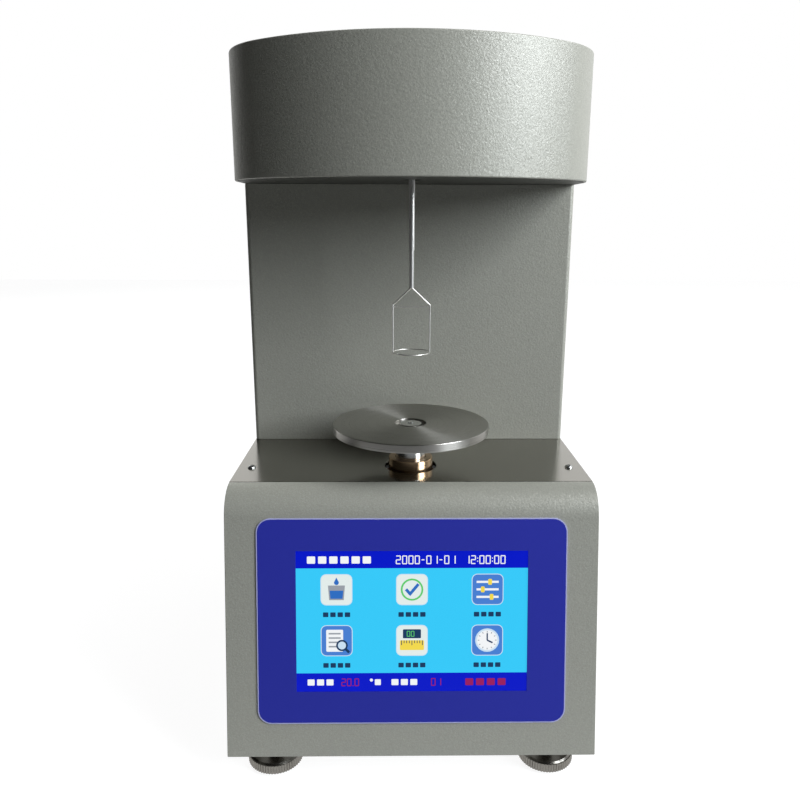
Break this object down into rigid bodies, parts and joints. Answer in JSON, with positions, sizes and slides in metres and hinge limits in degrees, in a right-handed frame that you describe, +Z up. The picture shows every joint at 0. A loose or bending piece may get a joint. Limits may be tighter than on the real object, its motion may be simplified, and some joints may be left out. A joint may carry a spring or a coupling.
{
  "type": "surface tensiometer",
  "caption": "Bench ring tensiometer: base with a leaning screen panel, column and bow-fronted hood, a wire ring hung over a motor-lifted round stage, levelling feet.",
  "frame": {"origin": "on the bench, under the middle of the overall box", "axes": "+X to the operator's right, -Y towards the operator, +Z up"},
  "size_m": [0.185, 0.26, 0.36],
  "materials": {
    "powder_coat": "fine-textured satin metallic powder coat",
    "stainless_plate": "polished stainless sheet",
    "turned_steel": "face-turned stainless steel",
    "bright_steel": "ground and polished steel",
    "ring_wire": "bright platinum-like wire",
    "foot_steel": "knurled steel",
    "zinc_plated": "zinc plated",
    "black_screw": "black oxide",
    "hood_floor_paint": "dark satin paint",
    "aluminium": "milled",
    "brass": "turned brass",
    "film": "printed satin film",
    "screen_glass": "lit screen behind glass",
    "display_can": "sheet can",
    "board": "solder mask",
    "motor_black": "satin black",
    "black_plastic": "moulded",
    "contact_metal": "plated",
    "pad_rubber": "matt"
  },
  "bodies": {
    "frame_body": {"base_shell": "powder_coat", "base_pan": "zinc_plated", "pan_screws": "zinc_plated", "deck_plate": "stainless_plate", "deck_screws": "bright_steel", "front_film": "film", "touch_glass": "screen_glass", "display_module": "display_can", "display_straps": "zinc_plated", "rear_panel": "powder_coat", "rear_screws": "black_screw", "power_inlet": "black_plastic", "inlet_pins": "contact_metal", "switch_housing": "black_plastic", "serial_port": "contact_metal", "power_supply": "display_can", "control_board": "board", "foot_nuts": "zinc_plated", "lift_pillars": "zinc_plated", "motor_plate": "aluminium", "stepper_motor": "motor_black", "guide_rods": "bright_steel", "lift_top_plate": "aluminium", "top_spacers": "zinc_plated", "limit_switches": "black_plastic", "guide_bush": "brass", "column_shell": "powder_coat", "column_back_cover": "powder_coat", "cover_screws": "black_screw", "hood_shell": "powder_coat", "hood_floor": "hood_floor_paint", "cell_bracket": "aluminium", "load_cell": "aluminium", "cell_screws": "black_screw", "hanger_clevis": "bright_steel", "overload_stop": "bright_steel", "amplifier_board": "board"},
    "stage_lift_body": {"carriage": "aluminium", "carriage_bushes": "brass", "lead_nut": "brass", "stage_shaft": "bright_steel", "stage_disc": "turned_steel", "stage_screw": "bright_steel"},
    "screw_body": {"motor_shaft": "bright_steel", "shaft_coupling": "aluminium", "lead_screw": "bright_steel"},
    "hanger_body": {"hanging_rod": "bright_steel"},
    "ring_body": {"ring_stem": "ring_wire", "ring_stirrup": "ring_wire", "measuring_ring": "ring_wire"},
    "rocker_body": {"switch_rocker": "black_plastic"},
    "pad_front_left": {"foot_pad_front_left": "pad_rubber"},
    "wheel_front_left": {"foot_wheel_front_left": "foot_steel"},
    "pad_front_right": {"foot_pad_front_right": "pad_rubber"},
    "wheel_front_right": {"foot_wheel_front_right": "foot_steel"},
    "pad_back_left": {"foot_pad_back_left": "pad_rubber"},
    "wheel_back_left": {"foot_wheel_back_left": "foot_steel"},
    "pad_back_right": {"foot_pad_back_right": "pad_rubber"},
    "wheel_back_right": {"foot_wheel_back_right": "foot_steel"}
  },
  "joints": [
    {"name": "screw_turn", "type": "hinge", "parent": "frame_body", "child": "screw_body", "pos_m": [0, -0.06747, 0.07], "axis": [0, 0, 1], "range_deg": [-4144, 2164]},
    {"name": "stage_lift", "type": "slide", "parent": "frame_body", "child": "stage_lift_body", "axis": [0, 0, 1], "range_m": [-0.012, 0.023]},
    {"name": "hanger_swing", "type": "hinge", "parent": "frame_body", "child": "hanger_body", "pos_m": [0, -0.06747, 0.3094], "axis": [1, 0, 0], "range_deg": [-4, 4]},
    {"name": "ring_pull", "type": "slide", "parent": "hanger_body", "child": "ring_body", "axis": [0, 0, -1], "range_m": [0, 0.009]},
    {"name": "switch_press", "type": "hinge", "parent": "frame_body", "child": "rocker_body", "pos_m": [-0.014, 0.124, 0.0625], "axis": [1, 0, 0], "range_deg": [0, 16]},
    {"name": "foot_lift_front_left", "type": "slide", "parent": "frame_body", "child": "pad_front_left", "axis": [0, 0, 1], "range_m": [-0.00401, 0.00401]},
    {"name": "foot_turn_front_left", "type": "hinge", "parent": "pad_front_left", "child": "wheel_front_left", "pos_m": [-0.0715, -0.1106, 0.004], "axis": [0, 0, 1], "range_deg": [-1152, 1152]},
    {"name": "foot_lift_front_right", "type": "slide", "parent": "frame_body", "child": "pad_front_right", "axis": [0, 0, 1], "range_m": [-0.00401, 0.00401]},
    {"name": "foot_turn_front_right", "type": "hinge", "parent": "pad_front_right", "child": "wheel_front_right", "pos_m": [0.0715, -0.1106, 0.004], "axis": [0, 0, 1], "range_deg": [-1152, 1152]},
    {"name": "foot_lift_back_left", "type": "slide", "parent": "frame_body", "child": "pad_back_left", "axis": [0, 0, 1], "range_m": [-0.00401, 0.00401]},
    {"name": "foot_turn_back_left", "type": "hinge", "parent": "pad_back_left", "child": "wheel_back_left", "pos_m": [-0.0715, 0.103, 0.004], "axis": [0, 0, 1], "range_deg": [-1152, 1152]},
    {"name": "foot_lift_back_right", "type": "slide", "parent": "frame_body", "child": "pad_back_right", "axis": [0, 0, 1], "range_m": [-0.00401, 0.00401]},
    {"name": "foot_turn_back_right", "type": "hinge", "parent": "pad_back_right", "child": "wheel_back_right", "pos_m": [0.0715, 0.103, 0.004], "axis": [0, 0, 1], "range_deg": [-1152, 1152]}
  ],
  "couplings": [
    {"joint": "screw_turn", "follows": "stage_lift", "rad_per_m": -3141.6},
    {"joint": "foot_lift_front_left", "follows": "foot_turn_front_left", "m_per_rad": 0.00019894},
    {"joint": "foot_lift_front_right", "follows": "foot_turn_front_right", "m_per_rad": 0.00019894},
    {"joint": "foot_lift_back_left", "follows": "foot_turn_back_left", "m_per_rad": 0.00019894},
    {"joint": "foot_lift_back_right", "follows": "foot_turn_back_right", "m_per_rad": 0.00019894}
  ]
}
